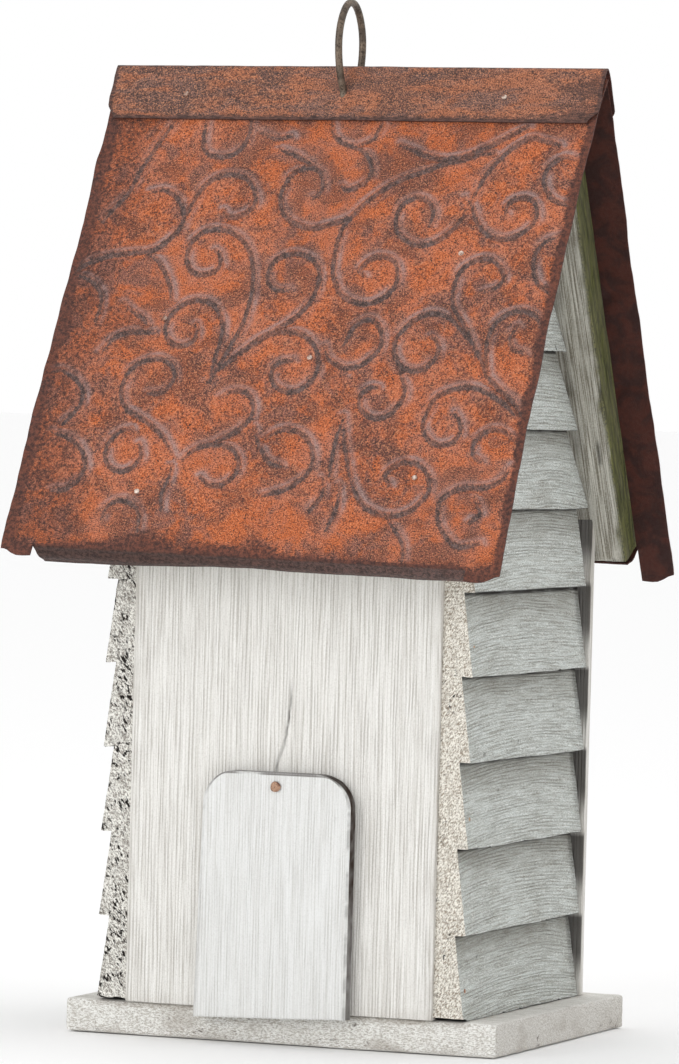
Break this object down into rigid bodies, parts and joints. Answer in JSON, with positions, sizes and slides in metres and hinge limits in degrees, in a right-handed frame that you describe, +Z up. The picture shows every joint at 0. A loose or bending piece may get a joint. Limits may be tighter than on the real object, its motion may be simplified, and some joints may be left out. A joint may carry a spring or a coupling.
{
  "type": "birdhouse",
  "caption": "Lap-sided wooden birdhouse with a steep embossed sheet-metal roof, a wire hanger loop and a clean-out door that swings on a nail.",
  "frame": {"origin": "centre of the overall footprint, on the ground plane under the base board", "axes": "+Z up, X along the roof ridge, -Y towards the side with the swinging door"},
  "size_m": [0.1728, 0.169, 0.3407],
  "materials": {
    "base_wood": "weathered whitewash over grey wood, matte",
    "panel_wood": "cream whitewash with vertical grain, matte",
    "siding_wood": "thin grey-green whitewash with horizontal grain, matte",
    "door_wood": "white paint over wood, matte",
    "roof_wood": "bare weathered grey wood, mossy at the edges",
    "rusted_sheet": "rust-orange with dark patina, matte",
    "rusted_cap": "brown rust, matte",
    "dark_wire": "dark oxidised wire, satin",
    "rusted_nail": "brown rust, matte",
    "bright_nail": "dull steel with rust stain"
  },
  "bodies": {
    "house": {"base_board": "base_wood", "front_panel": "panel_wood", "back_panel": "panel_wood", "left_wall": "siding_wood", "right_wall": "siding_wood", "left_gable": "siding_wood", "right_gable": "siding_wood", "front_roof_board": "roof_wood", "back_roof_board": "roof_wood", "front_roof_sheet": "rusted_sheet", "back_roof_sheet": "rusted_sheet", "ridge_cap": "rusted_cap", "hanger_wire": "dark_wire", "door_nail": "rusted_nail", "ridge_cap_nails": "bright_nail", "front_sheet_nails": "bright_nail", "back_sheet_nails": "bright_nail", "roof_board_nails": "bright_nail", "wall_brads": "bright_nail", "back_panel_nails": "rusted_nail", "base_screws": "rusted_nail"},
    "door": {"door": "door_wood"}
  },
  "joints": [
    {"name": "door_swing", "type": "hinge", "parent": "house", "child": "door", "pos_m": [0, -0.0529, 0.0838], "axis": [0, -1, 0], "continuous": true}
  ]
}
